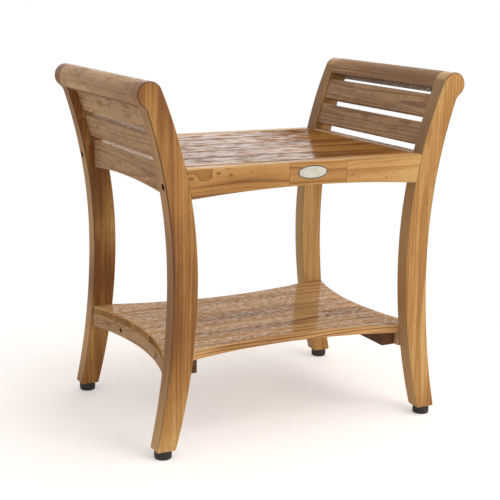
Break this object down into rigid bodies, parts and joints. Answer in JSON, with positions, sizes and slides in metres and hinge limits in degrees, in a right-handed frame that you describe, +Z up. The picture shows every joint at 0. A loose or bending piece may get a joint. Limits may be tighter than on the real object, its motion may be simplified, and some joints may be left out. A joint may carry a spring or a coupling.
{
  "type": "teak shower bench",
  "caption": "Slatted wooden shower bench with a lower shelf, swept legs, rounded arm rails with tilted slats, and screw-in levelling feet.",
  "frame": {"origin": "on the floor, under the middle of the bench, with the feet screwed right in", "axes": "+X to the right seen from the front, +Y to the back, +Z up"},
  "size_m": [0.61, 0.404, 0.622],
  "materials": {
    "teak_front": "oiled golden-brown teak with straight grain, satin",
    "teak_side": "damp, weathered grey-brown teak, satin",
    "teak_wet_slats": "wet teak with a glossy film of water",
    "teak_under": "dark teak, matt",
    "dowel_wood": "pale fluted hardwood dowel, matt",
    "foot_rubber": "black moulded rubber, matt",
    "steel_hardware": "stainless steel, satin",
    "brass_hardware": "plain machined brass"
  },
  "bodies": {
    "bench_frame": {"leg_front_left": "teak_front", "leg_front_right": "teak_front", "leg_rear_left": "teak_front", "leg_rear_right": "teak_front", "arm_rail_left": "teak_side", "arm_rail_right": "teak_side", "arm_slat_upper_left": "teak_side", "arm_slat_upper_right": "teak_side", "arm_slat_lower_left": "teak_side", "arm_slat_lower_right": "teak_side", "seat_apron_front": "teak_front", "seat_apron_rear": "teak_front", "seat_apron_left": "teak_side", "seat_apron_right": "teak_side", "seat_slat_1": "teak_wet_slats", "seat_slat_2": "teak_wet_slats", "seat_slat_3": "teak_wet_slats", "seat_slat_4": "teak_wet_slats", "seat_slat_5": "teak_wet_slats", "seat_batten_left": "teak_under", "seat_batten_middle": "teak_under", "seat_batten_right": "teak_under", "shelf_slat_1": "teak_wet_slats", "shelf_slat_2": "teak_wet_slats", "shelf_slat_3": "teak_wet_slats", "shelf_slat_4": "teak_wet_slats", "shelf_slat_5": "teak_wet_slats", "shelf_stretcher_left": "teak_side", "shelf_stretcher_right": "teak_side", "shelf_cleat_left": "teak_under", "shelf_cleat_right": "teak_under", "foot_inserts": "brass_hardware", "frame_bolts": "steel_hardware", "barrel_nuts": "brass_hardware", "apron_dowels": "dowel_wood", "side_apron_dowels": "dowel_wood", "rail_dowels": "dowel_wood", "stretcher_dowels": "dowel_wood", "batten_dowels": "dowel_wood", "seat_slat_screws": "steel_hardware", "seat_batten_screws": "steel_hardware", "shelf_slat_screws": "steel_hardware", "stretcher_screws": "steel_hardware"},
    "levelling_foot_front_left": {"foot_pad_front_left": "foot_rubber", "foot_stud_front_left": "steel_hardware"},
    "levelling_foot_front_right": {"foot_pad_front_right": "foot_rubber", "foot_stud_front_right": "steel_hardware"},
    "levelling_foot_rear_left": {"foot_pad_rear_left": "foot_rubber", "foot_stud_rear_left": "steel_hardware"},
    "levelling_foot_rear_right": {"foot_pad_rear_right": "foot_rubber", "foot_stud_rear_right": "steel_hardware"}
  },
  "joints": [
    {"name": "level_front_left", "type": "slide", "parent": "bench_frame", "child": "levelling_foot_front_left", "axis": [0, 0, -1], "range_m": [0, 0.008]},
    {"name": "level_front_right", "type": "slide", "parent": "bench_frame", "child": "levelling_foot_front_right", "axis": [0, 0, -1], "range_m": [0, 0.008]},
    {"name": "level_rear_left", "type": "slide", "parent": "bench_frame", "child": "levelling_foot_rear_left", "axis": [0, 0, -1], "range_m": [0, 0.008]},
    {"name": "level_rear_right", "type": "slide", "parent": "bench_frame", "child": "levelling_foot_rear_right", "axis": [0, 0, -1], "range_m": [0, 0.008]}
  ]
}
